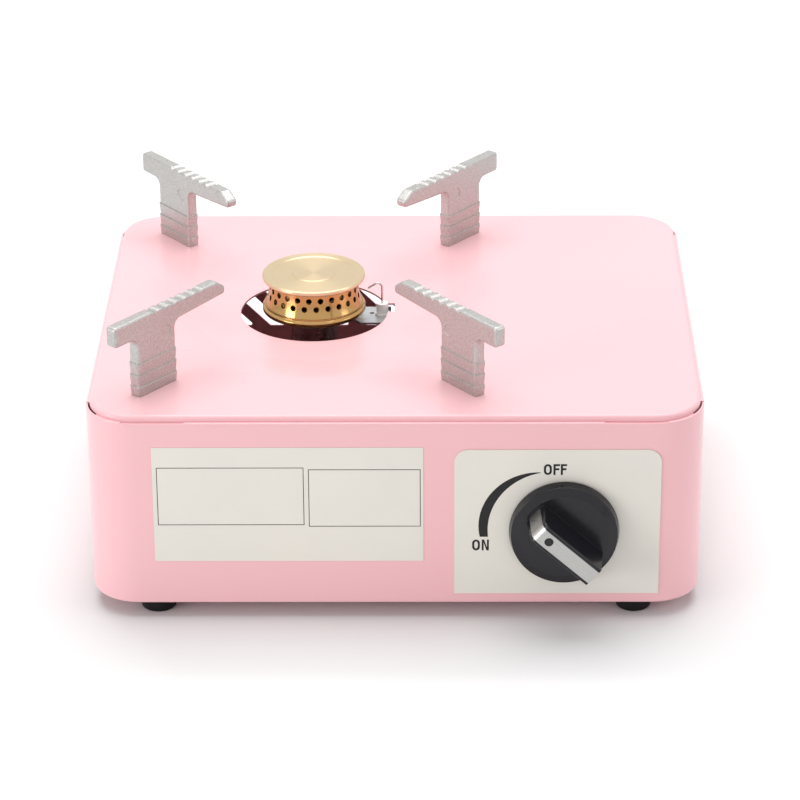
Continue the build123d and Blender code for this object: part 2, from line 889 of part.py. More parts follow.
# ---------------------------------------------------------------- ignition electrode
bracket_end_x = electrode_x + bracket_end
bracket_root_x = burner_x + neck_radius / 2
bracket_back_y = electrode_y + bracket_back
with BuildPart() as electrode_bracket:
    with BuildSketch(Plane.XY.offset(bracket_z)):
        with BuildLine():
            Polyline(
                (bracket_end_x, bracket_back_y),
                (bracket_root_x, bracket_back_y),
                (bracket_root_x, electrode_y - bracket_root_front),
                (electrode_x - bracket_waist_in, electrode_y - bracket_waist_front),
                (electrode_x - bracket_bevel_in, electrode_y - bracket_front),
                (bracket_end_x, electrode_y - bracket_front),
                close=True,
            )
        make_face()
        with Locations((burner_x, burner_y)):
            Circle(neck_radius, mode=Mode.SUBTRACT)
        with Locations((electrode_x, electrode_y)):
            Circle(ceramic_radius, mode=Mode.SUBTRACT)
        with Locations((electrode_x - bracket_hole_in, electrode_y + bracket_hole_back)):
            Circle(bracket_hole_radius, mode=Mode.SUBTRACT)
    extrude(amount=-bracket_sheet)
    # Tab turned down along the back of the neck and welded to it
    with BuildSketch(Plane.XY.offset(bracket_z)):
        with Locations((burner_x, burner_y)):
            Circle(neck_radius + bracket_sheet)
            Circle(neck_radius, mode=Mode.SUBTRACT)
        with Locations((bracket_root_x, electrode_y)):
            Rectangle(
                neck_radius + bracket_sheet,
                2 * neck_radius,
                align=(Align.MIN, Align.MIN),
                mode=Mode.INTERSECT,
            )
    extrude(amount=-bracket_tab)
save(electrode_bracket, "electrode_bracket")

electrode_axis = Axis((electrode_x, electrode_y, 0), (0, 0, 1))
collar_top_z = bracket_z + ceramic_collar_height
with BuildPart() as electrode_ceramic:
    with BuildSketch(facing_front(electrode_y)):
        with BuildLine():
            Polyline(
                (electrode_x + electrode_wire_radius, ceramic_bottom_z),
                (electrode_x + ceramic_radius, ceramic_bottom_z),
                (electrode_x + ceramic_radius, bracket_z),
                (electrode_x + ceramic_collar_radius, bracket_z),
                (electrode_x + ceramic_collar_radius, collar_top_z),
                (electrode_x + ceramic_radius, collar_top_z),
                (electrode_x + ceramic_top_radius, ceramic_top_z),
                (electrode_x + electrode_wire_radius, ceramic_top_z),
                close=True,
            )
        make_face()
    revolve(axis=electrode_axis)
save(electrode_ceramic, "electrode_ceramic")

wire_top_z = ceramic_top_z + electrode_rise
with BuildPart() as electrode_wire:
    with BuildLine() as wire_path:
        FilletPolyline(
            (electrode_x, electrode_y, ceramic_bottom_z),
            (electrode_x, electrode_y, wire_top_z),
            (electrode_x - electrode_tip_in, electrode_y, wire_top_z - electrode_tip_drop),
            radius=electrode_bend,
        )
    with BuildSketch(Plane.XY.offset(ceramic_bottom_z)):
        with Locations((electrode_x, electrode_y)):
            Circle(electrode_wire_radius)
    sweep(path=wire_path.line)
save(electrode_wire, "electrode_wire")

# ---------------------------------------------------------------- knob
disc_draft = degrees(atan((knob_radius - knob_front_radius) / knob_disc_depth))
bevel_radius = knob_front_radius - knob_disc_round
bevel_draft = degrees(atan((bevel_radius - knob_face_radius) / knob_face_rise))
grip_depth = knob_face_y - grip_front_y
grip_slope = (grip_width - grip_front_width) / 2 / grip_depth
grip_front_half = grip_half_length - grip_slope * grip_depth
strip_inner = insert_thickness - insert_proud
insert_front_y = grip_front_y - insert_proud
lengthwise = Plane(
    origin=(knob_x, 0, spindle_z),
    x_dir=(cos(radians(pointer_angle)), 0, sin(radians(pointer_angle))),
    z_dir=(-sin(radians(pointer_angle)), 0, cos(radians(pointer_angle))),
)

# Side view of the bright strip: along the grip, round the pointer end and down to the face
with BuildSketch(lengthwise) as strip_section:
    with BuildLine():
        FilletPolyline(
            (-grip_front_half, insert_front_y),
            (grip_front_half + insert_proud, insert_front_y),
            (grip_half_length + insert_proud, knob_face_y),
            radius=grip_bend + insert_proud,
        )
        Polyline(
            (grip_half_length + insert_proud, knob_face_y),
            (-grip_front_half, knob_face_y),
            (-grip_front_half, insert_front_y),
        )
    make_face()
    with BuildLine():
        FilletPolyline(
            (-grip_half_length, grip_front_y + strip_inner),
            (grip_front_half - strip_inner, grip_front_y + strip_inner),
            (grip_half_length - strip_inner, knob_face_y),
            radius=grip_bend - strip_inner,
        )
        Polyline(
            (grip_half_length - strip_inner, knob_face_y),
            (-grip_half_length, knob_face_y),
            (-grip_half_length, grip_front_y + strip_inner),
        )
    make_face(mode=Mode.SUBTRACT)

with BuildPart() as knob:
    with BuildSketch(knob_plane(knob_back_y)):
        Circle(knob_radius)
    extrude(amount=knob_disc_depth, taper=disc_draft)
    fillet(knob.faces().sort_by(Axis.Y)[0].edges(), knob_disc_round)
    # Wide bevel between the rim and the flat face
    with BuildSketch(knob_plane(knob_rim_y)):
        Circle(bevel_radius)
    extrude(amount=knob_face_rise, taper=bevel_draft)
    with BuildSketch(knob_plane(knob_back_y)):
        Circle(knob_radius - knob_skirt_wall)
        Circle(knob_hub_radius, mode=Mode.SUBTRACT)
    extrude(amount=knob_disc_depth - knob_web, mode=Mode.SUBTRACT)
    # Grip bar, drafted on all sides and bent over at the pointer end
    with BuildSketch(knob_plane(knob_face_y)):
        Rectangle(2 * grip_half_length, grip_width)
    extrude(amount=grip_depth, taper=degrees(atan(grip_slope)))
    grip_front = knob.faces().sort_by(Axis.Y)[0]
    pointer_edge = grip_front.edges().sort_by(
        lambda edge: lengthwise.to_local_coords(edge.center()).X
    )[-1]
    fillet(pointer_edge, grip_bend)
    grip_front = knob.faces().sort_by(Axis.Y)[0]
    fillet(grip_front.edges().sort_by(SortBy.LENGTH)[-2:], grip_edge)
    # Groove for the bright strip, with a pip that shows through it
    extrude(
        to_extrude=strip_section.sketch,
        amount=insert_width / 2,
        both=True,
        mode=Mode.SUBTRACT,
    )
    with BuildSketch(knob_plane(grip_front_y + insert_thickness)):
        with Locations((insert_dot_place, 0)):
            Circle(insert_dot_radius)
    extrude(amount=insert_thickness)
    # D-shaped socket for the spindle
    with BuildSketch(knob_plane(knob_back_y)):
        Circle(spindle_radius + running_fit)
        with Locations((0, spindle_flat + running_fit + 2 * spindle_radius)):
            Rectangle(4 * spindle_radius, 4 * spindle_radius, mode=Mode.SUBTRACT)
    extrude(amount=knob_socket_depth, mode=Mode.SUBTRACT)
save(knob, "knob")

with BuildPart() as knob_insert:
    extrude(to_extrude=strip_section.sketch, amount=insert_width / 2, both=True)
    with BuildSketch(knob_plane(knob_face_y)):
        with Locations((insert_dot_place, 0)):
            Circle(insert_dot_radius)
    extrude(amount=2 * grip_depth, mode=Mode.SUBTRACT)
save(knob_insert, "knob_insert")

# ---------------------------------------------------------------- valve spindle and cam
with BuildPart() as valve_spindle:
    with BuildSketch(knob_plane(spindle_end_y)):
        Circle(spindle_radius)
    extrude(amount=spindle_end_y - spindle_tip_y)
    flat_start_y = regulator_front_y - 2 * retaining_ring_thickness
    with BuildSketch(knob_plane(flat_start_y)):
        with Locations((0, spindle_flat + 2 * spindle_radius)):
            Rectangle(4 * spindle_radius, 4 * spindle_radius)
    extrude(amount=flat_start_y - spindle_tip_y, mode=Mode.SUBTRACT)
save(valve_spindle, "valve_spindle")

with BuildPart() as retaining_ring:
    with BuildSketch(knob_plane(regulator_front_y - retaining_ring_gap)):
        Circle(retaining_ring_radius)
        Circle(spindle_radius, mode=Mode.SUBTRACT)
        with Locations((-retaining_ring_radius, 0)):
            Rectangle(2 * retaining_ring_radius, spindle_radius, mode=Mode.SUBTRACT)
    extrude(amount=retaining_ring_thickness)
save(retaining_ring, "retaining_ring")

# The cam radius grows evenly with the turn, so the plunger moves evenly with it
with BuildPart() as ignition_cam:
    cam_back_y = piezo_y + cam_thickness / 2
    cam_plane = Plane(origin=(knob_x, cam_back_y, spindle_z), x_dir=(1, 0, 0), z_dir=(0, -1, 0))
    with BuildSketch(cam_plane):
        with BuildLine():
            flank = []
            for turn in range(cam_start, cam_end + 1, cam_step):
                radius = cam_mid_radius + cam_lift_per_radian * radians(180 - turn)
                flank.append((radius * cos(radians(turn)), radius * sin(radians(turn))))
            heel_turn = radians((cam_start + cam_end) / 2 - 180)
            heel = (cam_heel_radius * cos(heel_turn), cam_heel_radius * sin(heel_turn))
            Spline(*flank)
            ThreePointArc(flank[-1], heel, flank[0])
        make_face()
    extrude(amount=cam_thickness)
    with BuildSketch(knob_plane(cam_back_y)):
        Circle(spindle_radius)
        with Locations((0, spindle_flat + 2 * spindle_radius)):
            Rectangle(4 * spindle_radius, 4 * spindle_radius, mode=Mode.SUBTRACT)
    extrude(amount=cam_thickness, mode=Mode.SUBTRACT)
save(ignition_cam, "ignition_cam")

# ---------------------------------------------------------------- plates on the front wall
with BuildPart() as control_plate:
    with BuildSketch(facing_front(front_y)) as control_face:
        with Locations((control_plate_x, floor_z + control_plate_centre)):
            Rectangle(control_plate_width, control_plate_height)
        fillet(control_face.vertices().group_by(Axis.Y)[-1], control_plate_corner)
        with Locations((knob_x, spindle_z)):
            Circle(spindle_radius + spindle_wall_clearance, mode=Mode.SUBTRACT)
        with Locations(*post_places):
            Circle(screw_radius, mode=Mode.SUBTRACT)
    extrude(amount=control_plate_thickness)
save(control_plate, "control_plate")

with BuildPart() as front_label:
    with BuildSketch(facing_front(front_y)):
        with Locations((label_left_x + label_width / 2, floor_z + label_centre)):
            Rectangle(label_width, label_height)
    extrude(amount=label_thickness)
save(front_label, "front_label")

# ---------------------------------------------------------------- regulator
with BuildPart() as regulator_body:
    block_height = regulator_high_z - regulator_low_z
    with BuildSketch(facing_front(regulator_back_y)):
        with Locations((knob_x, regulator_low_z + block_height / 2)):
            RectangleRounded(regulator_width, block_height, regulator_edge)
    extrude(amount=regulator_depth)
    with BuildSketch(facing_front(regulator_front_y)):
        with Locations(*post_places):
            Circle(post_radius)
    extrude(amount=regulator_stand_off)
    with BuildSketch(Plane.XY.offset(regulator_high_z)):
        with Locations((knob_x, chamber_y)):
            Circle(chamber_flange_radius)
    extrude(amount=chamber_flange_height)
    with BuildSketch(Plane.XY.offset(diaphragm_z)):
        with Locations((knob_x, chamber_y)):
            Circle(chamber_radius)
    extrude(amount=-chamber_depth, mode=Mode.SUBTRACT)
    # Threaded holes for the screws of the front wall, the cover and the magnet holder
    with BuildSketch(facing_front(inner_front_y)):
        with Locations(*post_places):
            Circle(screw_radius)
    extrude(amount=-regulator_screw_length, mode=Mode.SUBTRACT)
    with BuildSketch(Plane.XY.offset(diaphragm_z)):
        with Locations((knob_x, chamber_y)):
            with PolarLocations(cover_screw_circle, cover_screw_count, cover_screw_angle):
                Circle(small_screw_radius)
    cover_screw_grip = small_screw_length - diaphragm_thickness - cover_flange
    extrude(amount=-cover_screw_grip, mode=Mode.SUBTRACT)
    with BuildSketch(facing_front(regulator_back_y)):
        with Locations(*holder_screw_places):
            Circle(small_screw_radius)
    extrude(amount=small_screw_length - holder_wall, mode=Mode.SUBTRACT)
    # Spindle bore with a seat for its seal, then the needle bore
    with BuildSketch(facing_front(spindle_end_y + needle_gap / 2)):
        with Locations((knob_x, spindle_z)):
            Circle(spindle_radius + running_fit)
    extrude(amount=spindle_engagement + needle_gap / 2, mode=Mode.SUBTRACT)
    seal_seat_radius = spindle_radius + running_fit + 2 * o_ring_section
    with BuildSketch(facing_front(regulator_front_y + 2 * o_ring_section)):
        with Locations((knob_x, spindle_z)):
            Circle(seal_seat_radius)
    extrude(amount=2 * o_ring_section, mode=Mode.SUBTRACT)
    with BuildSketch(facing_front(needle_front_y + needle_length + needle_gap)):
        with Locations((knob_x, spindle_z)):
            Circle(needle_radius + running_fit)
    extrude(amount=needle_length + 2 * needle_gap, mode=Mode.SUBTRACT)
    # Gas passages: inlet to chamber, chamber to needle, needle to outlet
    with BuildSketch(facing_front(regulator_back_y)):
        with Locations((canister_x, canister_z)):
            Circle(passage_radius)
    extrude(amount=regulator_back_y - chamber_y, mode=Mode.SUBTRACT)
    with BuildSketch(Plane.XY.offset(diaphragm_z)):
        with Locations((knob_x, chamber_y)):
            Circle(passage_radius)
    extrude(amount=canister_z - diaphragm_z, mode=Mode.SUBTRACT)
    with BuildSketch(Plane.XY.offset(diaphragm_z)):
        with Locations((knob_x + passage_offset, chamber_y + chamber_radius - 2 * passage_radius)):
            Circle(passage_radius)
    extrude(amount=spindle_z - diaphragm_z, mode=Mode.SUBTRACT)
    with BuildSketch(Plane.YZ.offset(regulator_left_x)):
        with Locations((pipe_y, pipe_z)):
            Circle(passage_radius)
    extrude(amount=regulator_width / 2, mode=Mode.SUBTRACT)
    with BuildSketch(Plane.XY.offset(pipe_z)):
        with Locations((knob_x, pipe_y)):
            Circle(passage_radius)
    extrude(amount=spindle_z - pipe_z, mode=Mode.SUBTRACT)
save(regulator_body, "regulator_body")

with BuildPart() as spindle_seal:
    ring_centre = spindle_radius + running_fit + o_ring_section
    with BuildSketch(Plane.XY.offset(spindle_z)):
        with Locations((knob_x + ring_centre, regulator_front_y + o_ring_section)):
            Circle(o_ring_section)
    revolve(axis=Axis((knob_x, 0, spindle_z), (0, 1, 0)))
save(spindle_seal, "spindle_seal")

with BuildPart() as valve_needle:
    with BuildSketch(Plane.XY.offset(spindle_z)):
        with BuildLine():
            Polyline(
                (knob_x, needle_front_y),
                (knob_x + needle_radius, needle_front_y),
                (knob_x + needle_radius, needle_front_y + needle_length - needle_taper),
                (knob_x + needle_tip_radius, needle_front_y + needle_length),
                (knob_x, needle_front_y + needle_length),
                close=True,
            )
        make_face()
    revolve(axis=Axis((knob_x, 0, spindle_z), (0, 1, 0)))
save(valve_needle, "valve_needle")

with BuildPart() as diaphragm:
    with BuildSketch(Plane.XY.offset(diaphragm_z)):
        with Locations((knob_x, chamber_y)):
            Circle(chamber_flange_radius)
            with PolarLocations(cover_screw_circle, cover_screw_count, cover_screw_angle):
                Circle(small_screw_radius, mode=Mode.SUBTRACT)
    extrude(amount=diaphragm_thickness)
save(diaphragm, "diaphragm")

dome_radius = chamber_radius + cover_wall
cover_top_z = cover_z + cover_height
with BuildPart() as diaphragm_cover:
    with BuildSketch(Plane.XY.offset(cover_z)):
        with Locations((knob_x, chamber_y)):
            Circle(dome_radius)
    extrude(amount=cover_height)
    fillet(diaphragm_cover.faces().sort_by(Axis.Z)[-1].edges(), cover_round)
    with BuildSketch(Plane.XY.offset(cover_z)):
        with Locations((knob_x, chamber_y)):
            Circle(chamber_flange_radius)
            with PolarLocations(cover_screw_circle, cover_screw_count, cover_screw_angle):
                Circle(small_screw_radius, mode=Mode.SUBTRACT)
    extrude(amount=cover_flange)
    with BuildSketch(Plane.XY.offset(cover_z)):
        with Locations((knob_x, chamber_y)):
            Circle(chamber_radius)
    extrude(amount=cover_height - cover_wall, mode=Mode.SUBTRACT)
    with BuildSketch(Plane.XY.offset(cover_top_z)):
        with Locations((knob_x, chamber_y)):
            Circle(adjuster_radius)
    extrude(amount=-cover_wall, mode=Mode.SUBTRACT)
save(diaphragm_cover, "diaphragm_cover")

adjuster_top_z = cover_top_z + adjuster_proud
adjuster_bottom_z = cover_top_z - adjuster_depth
with BuildPart() as spring_adjuster:
    with BuildSketch(Plane.XY.offset(adjuster_bottom_z)):
        with Locations((knob_x, chamber_y)):
            Circle(adjuster_radius)
    extrude(amount=adjuster_top_z - adjuster_bottom_z)
    with BuildSketch(Plane.XY.offset(adjuster_top_z)):
        with Locations((knob_x, chamber_y)):
            Rectangle(2 * adjuster_radius, adjuster_slot)
    extrude(amount=-adjuster_slot, mode=Mode.SUBTRACT)
save(spring_adjuster, "spring_adjuster")

with BuildPart() as regulator_spring:
    spring_height = adjuster_bottom_z - cover_z - 2 * spring_wire_radius
    with BuildLine(Plane(origin=(knob_x, chamber_y, cover_z + spring_wire_radius))) as coil:
        Helix(pitch=spring_height / spring_turns, height=spring_height, radius=spring_coil_radius)
    with BuildSketch(Plane(origin=coil.line @ 0, z_dir=coil.line % 0)):
        Circle(spring_wire_radius)
    sweep(path=coil.line, is_frenet=True)
save(regulator_spring, "regulator_spring")

with BuildPart() as cover_screws:
    with BuildSketch(Plane.XY.offset(cover_z + cover_flange)):
        with Locations((knob_x, chamber_y)):
            with PolarLocations(cover_screw_circle, cover_screw_count, cover_screw_angle):
                Circle(small_screw_head_radius)
    extrude(amount=small_screw_head_height)
    with BuildSketch(Plane.XY.offset(cover_z + cover_flange)):
        with Locations((knob_x, chamber_y)):
            with PolarLocations(cover_screw_circle, cover_screw_count, cover_screw_angle):
                Circle(small_screw_radius)
    extrude(amount=-small_screw_length)
save(cover_screws, "cover_screws")

# ---------------------------------------------------------------- canister connection
holder_face_y = regulator_back_y + holder_wall
with BuildPart() as inlet_nozzle:
    with BuildSketch(facing_front(regulator_back_y + inlet_reach)):
        with Locations((canister_x, canister_z)):
            Circle(inlet_radius)
            Circle(passage_radius, mode=Mode.SUBTRACT)
    extrude(amount=inlet_reach)
save(inlet_nozzle, "inlet_nozzle")

with BuildPart() as magnet_holder:
    with BuildSketch(facing_front(holder_face_y)):
        with Locations((canister_x, canister_z)):
            Circle(magnet_outer + holder_wall)
            Circle(inlet_radius, mode=Mode.SUBTRACT)
        with Locations(*holder_screw_places):
            Circle(small_screw_radius, mode=Mode.SUBTRACT)
    extrude(amount=holder_wall)
    with BuildSketch(facing_front(holder_face_y + magnet_thickness)):
        with Locations((canister_x, canister_z)):
            Circle(magnet_outer + holder_wall)
            Circle(magnet_outer, mode=Mode.SUBTRACT)
    extrude(amount=magnet_thickness)
    # Guide pin for the notch in the canister collar
    with BuildSketch(facing_front(holder_face_y + guide_pin_reach)):
        with Locations((canister_x, canister_z + guide_pin_place)):
            Rectangle(guide_pin_width, guide_pin_thickness)
    extrude(amount=guide_pin_reach)
save(magnet_holder, "magnet_holder")

with BuildPart() as magnet_ring:
    with BuildSketch(facing_front(holder_face_y + magnet_thickness)):
        with Locations((canister_x, canister_z)):
            Circle(magnet_outer)
            Circle(magnet_inner, mode=Mode.SUBTRACT)
    extrude(amount=magnet_thickness)
save(magnet_ring, "magnet_ring")

with BuildPart() as inlet_seal:
    with BuildSketch(facing_front(holder_face_y + seal_thickness)):
        with Locations((canister_x, canister_z)):
            Circle(seal_outer_radius)
            Circle(inlet_radius, mode=Mode.SUBTRACT)
    extrude(amount=seal_thickness)
save(inlet_seal, "inlet_seal")

with BuildPart() as holder_screws:
    with BuildSketch(facing_front(holder_face_y + small_screw_head_height)):
        with Locations(*holder_screw_places):
            Circle(small_screw_head_radius)
    extrude(amount=small_screw_head_height)
    with BuildSketch(facing_front(holder_face_y)):
        with Locations(*holder_screw_places):
            Circle(small_screw_radius)
    extrude(amount=small_screw_length)
save(holder_screws, "holder_screws")

with BuildPart() as regulator_screws:
    with BuildSketch(facing_front(plate_front_y)):
        with Locations(*post_places):
            Circle(screw_head_radius)
    extrude(amount=screw_head_height)
    with BuildSketch(facing_front(plate_front_y)):
        with Locations(*post_places):
            Circle(screw_radius)
    extrude(amount=-(regulator_screw_length + sheet + control_plate_thickness))
save(regulator_screws, "regulator_screws")

# ---------------------------------------------------------------- piezo unit
with BuildPart() as piezo_body:
    with BuildSketch(Plane.YZ.offset(piezo_left_x)):
        with Locations((piezo_y, spindle_z)):
            RectangleRounded(piezo_width, piezo_tall, piezo_round)
    extrude(amount=piezo_length)
    with BuildSketch(Plane.YZ.offset(piezo_right_x)):
        with Locations((piezo_y, spindle_z)):
            Circle(plunger_radius + plunger_fit)
    extrude(amount=-(plunger_in + plunger_room), mode=Mode.SUBTRACT)
save(piezo_body, "piezo_body")

with BuildPart() as piezo_plunger:
    with BuildSketch(Plane.YZ.offset(plunger_tip_x)):
        with Locations((piezo_y, spindle_z)):
            Circle(plunger_radius)
    extrude(amount=-(plunger_out + plunger_in))
    fillet(piezo_plunger.faces().sort_by(Axis.X)[-1].edges(), plunger_tip_round)
save(piezo_plunger, "piezo_plunger")

with BuildPart() as piezo_clip:
    half = piezo_tall / 2
    outer_half = half + clip_sheet
    flange_half = outer_half + clip_flange
    flange_y = inner_front_y + clip_sheet
    clip_back_y = inner_front_y + piezo_width
    with BuildSketch(Plane.YZ.offset(piezo_left_x + clip_place)):
        with BuildLine():
            Polyline(
                (inner_front_y, spindle_z + flange_half),
                (flange_y, spindle_z + flange_half),
                (flange_y, spindle_z + outer_half),
                (clip_back_y + clip_sheet, spindle_z + outer_half),
                (clip_back_y + clip_sheet, spindle_z - outer_half),
                (flange_y, spindle_z - outer_half),
                (flange_y, spindle_z - flange_half),
                (inner_front_y, spindle_z - flange_half),
                (inner_front_y, spindle_z - half),
                (clip_back_y, spindle_z - half),
                (clip_back_y, spindle_z + half),
                (inner_front_y, spindle_z + half),
                close=True,
            )
        make_face()
    extrude(amount=clip_width)
save(piezo_clip, "piezo_clip")

# ---------------------------------------------------------------- jet, unions and gas pipe
with BuildPart() as jet_nozzle:
    with BuildSketch(facing_front(mixing_mouth_y)):
        with Locations((burner_x, mixing_z)):
            RegularPolygon(jet_across_flats / 2, 6, major_radius=False)
    extrude(amount=jet_length)
    with BuildSketch(facing_front(mixing_mouth_y + jet_spigot_length)):
        with Locations((burner_x, mixing_z)):
            Circle(jet_spigot_radius)
    extrude(amount=jet_spigot_length)
    with BuildSketch(facing_front(mixing_mouth_y)):
        with Locations((burner_x, mixing_z)):
            Circle(pipe_bore)
    extrude(amount=jet_length, mode=Mode.SUBTRACT)
    with BuildSketch(facing_front(mixing_mouth_y + jet_spigot_length)):
        with Locations((burner_x, mixing_z)):
            Circle(jet_orifice)
    extrude(amount=jet_spigot_length, mode=Mode.SUBTRACT)
save(jet_nozzle, "jet_nozzle")

with BuildPart() as gas_pipe:
    with BuildLine() as pipe_path:
        FilletPolyline(
            (burner_x, jet_end_y, pipe_z),
            (burner_x, pipe_y, pipe_z),
            (regulator_left_x, pipe_y, pipe_z),
            radius=pipe_bend,
        )
    with BuildSketch(facing_front(jet_end_y)):
        with Locations((burner_x, pipe_z)):
            Circle(pipe_radius)
            Circle(pipe_bore, mode=Mode.SUBTRACT)
    sweep(path=pipe_path.line)
save(gas_pipe, "gas_pipe")

with BuildPart() as jet_union:
    with BuildSketch(facing_front(jet_end_y)):
        with Locations((burner_x, pipe_z)):
            RegularPolygon(union_across_flats / 2, 6, major_radius=False)
            Circle(pipe_radius, mode=Mode.SUBTRACT)
    extrude(amount=union_length)
save(jet_union, "jet_union")

with BuildPart() as outlet_union:
    with BuildSketch(Plane.YZ.offset(regulator_left_x - union_length)):
        with Locations((pipe_y, pipe_z)):
            RegularPolygon(union_across_flats / 2, 6, major_radius=False)
            Circle(pipe_radius, mode=Mode.SUBTRACT)
    extrude(amount=union_length)
save(outlet_union, "outlet_union")

# ---------------------------------------------------------------- ignition lead
lead_route = [(piezo_left_x + x, piezo_y + y, spindle_z + z) for x, y, z in lead_from_piezo]
lead_route += [
    (electrode_x + x, electrode_y + y, ceramic_bottom_z + z) for x, y, z in lead_to_electrode
]


def route_radii(route):
    """Arc radius for each corner of a lead: as large as its two runs allow."""
    radii = []
    for before, corner, after in zip(route, route[1:], route[2:]):
        arriving = Vector(*corner) - Vector(*before)
        leaving = Vector(*after) - Vector(*corner)
        half_turn = radians(arriving.get_angle(leaving)) / 2
        shorter = min(arriving.length, leaving.length)
        radii.append(lead_arc_share * shorter / tan(half_turn))
    return radii


with BuildPart() as ignition_lead:
    lead_radii = route_radii(lead_route)
    with BuildLine() as lead_path:
        FilletPolyline(*lead_route, radius=lead_radii)
    with BuildSketch(Plane(origin=lead_path.line @ 0, z_dir=lead_path.line % 0)):
        Circle(lead_radius)
    sweep(path=lead_path.line)
save(ignition_lead, "ignition_lead")
lead_length = sum(edge.length for edge in lead_path.edges())
print("lead radii", [round(radius, 1) for radius in lead_radii])
print("lead length", round(lead_length, 1), "volume", round(ignition_lead.part.volume, 1))
print("section times length", round(pi * lead_radius**2 * lead_length, 1))

# ---------------------------------------------------------------- cradle, heat shield, screws
with BuildPart() as canister_cradle:
    with BuildSketch(facing_front(cradle_back_y)):
        cradle_top_z = floor_top + cradle_height
        with BuildLine():
            Polyline(
                (canister_x - cradle_top_half, cradle_top_z),
                (canister_x - cradle_base_half, floor_top),
                (canister_x + cradle_base_half, floor_top),
                (canister_x + cradle_top_half, cradle_top_z),
                (canister_x + cradle_top_half - cradle_sheet, cradle_top_z),
                (canister_x + cradle_base_half - cradle_sheet, floor_top + cradle_sheet),
                (canister_x - cradle_base_half + cradle_sheet, floor_top + cradle_sheet),
                (canister_x - cradle_top_half + cradle_sheet, cradle_top_z),
                close=True,
            )
        make_face()
    extrude(amount=cradle_length)
    with BuildSketch(Plane.XY.offset(floor_top)):
        with Locations(*cradle_screws):
            Circle(screw_radius)
    extrude(amount=cradle_sheet, mode=Mode.SUBTRACT)
save(canister_cradle, "canister_cradle")

with BuildPart() as heat_shield:
    with BuildSketch(facing_front(shield_back_y)):
        shield_top_z = floor_top + shield_height
        with BuildLine():
            Polyline(
                (shield_x + shield_sheet, floor_top),
                (shield_x + shield_sheet, shield_top_z),
                (shield_x, shield_top_z),
                (shield_x, floor_top + shield_sheet),
                (shield_x - shield_foot, floor_top + shield_sheet),
                (shield_x - shield_foot, floor_top),
                close=True,
            )
        make_face()
    extrude(amount=shield_length)
    with BuildSketch(Plane.XY.offset(floor_top)):
        with Locations(*shield_screws):
            Circle(screw_radius)
    extrude(amount=shield_sheet, mode=Mode.SUBTRACT)
save(heat_shield, "heat_shield")

with BuildPart() as chassis_screws:
    with BuildSketch(Plane.XY.offset(floor_z)):
        with Locations(*chassis_screw_places):
            Circle(screw_head_radius)
    extrude(amount=-screw_head_height)
    with BuildSketch(Plane.XY.offset(floor_z)):
        with Locations(*chassis_screw_places):
            Circle(screw_radius)
    extrude(amount=chassis_screw_length)
save(chassis_screws, "chassis_screws")
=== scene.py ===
import json
from math import atan2, cos, pi, radians, sin, tau

import bmesh
import bpy
from mathutils import Matrix, Vector


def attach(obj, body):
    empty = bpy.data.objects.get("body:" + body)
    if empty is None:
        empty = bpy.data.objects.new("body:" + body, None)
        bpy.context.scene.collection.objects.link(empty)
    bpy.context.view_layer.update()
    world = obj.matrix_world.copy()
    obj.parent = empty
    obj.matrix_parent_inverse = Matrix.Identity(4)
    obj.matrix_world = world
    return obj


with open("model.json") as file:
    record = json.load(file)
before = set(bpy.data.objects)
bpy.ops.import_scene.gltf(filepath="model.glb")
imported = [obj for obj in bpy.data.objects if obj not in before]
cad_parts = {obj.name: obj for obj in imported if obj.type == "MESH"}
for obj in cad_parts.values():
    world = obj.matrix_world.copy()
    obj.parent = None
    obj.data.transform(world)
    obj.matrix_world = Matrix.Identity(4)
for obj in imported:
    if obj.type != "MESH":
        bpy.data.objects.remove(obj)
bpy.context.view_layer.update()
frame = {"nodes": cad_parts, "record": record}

MM = 0.001
scene = bpy.context.scene
collection = scene.collection

# ---------------------------------------------------------------- places of the object (m)
burner_axis = Vector((-34.5, 11.0, 0.0)) * MM
pointer_turn = radians(138.0)
plate_front_y = -94.5 * MM
label_front_y = -94.2 * MM
ink_depth = 0.03 * MM

# ---------------------------------------------------------------- shared values of the materials
enamel_edge = 0.25 * MM
cast_edge = 0.35 * MM
metal_edge = 0.2 * MM
moulded_edge = 0.25 * MM
print_edge = 0.1 * MM
turned_edge = 0.15 * MM
round_axis = (0.0, 0.0, 1.0)
quarter_turn = 0.25


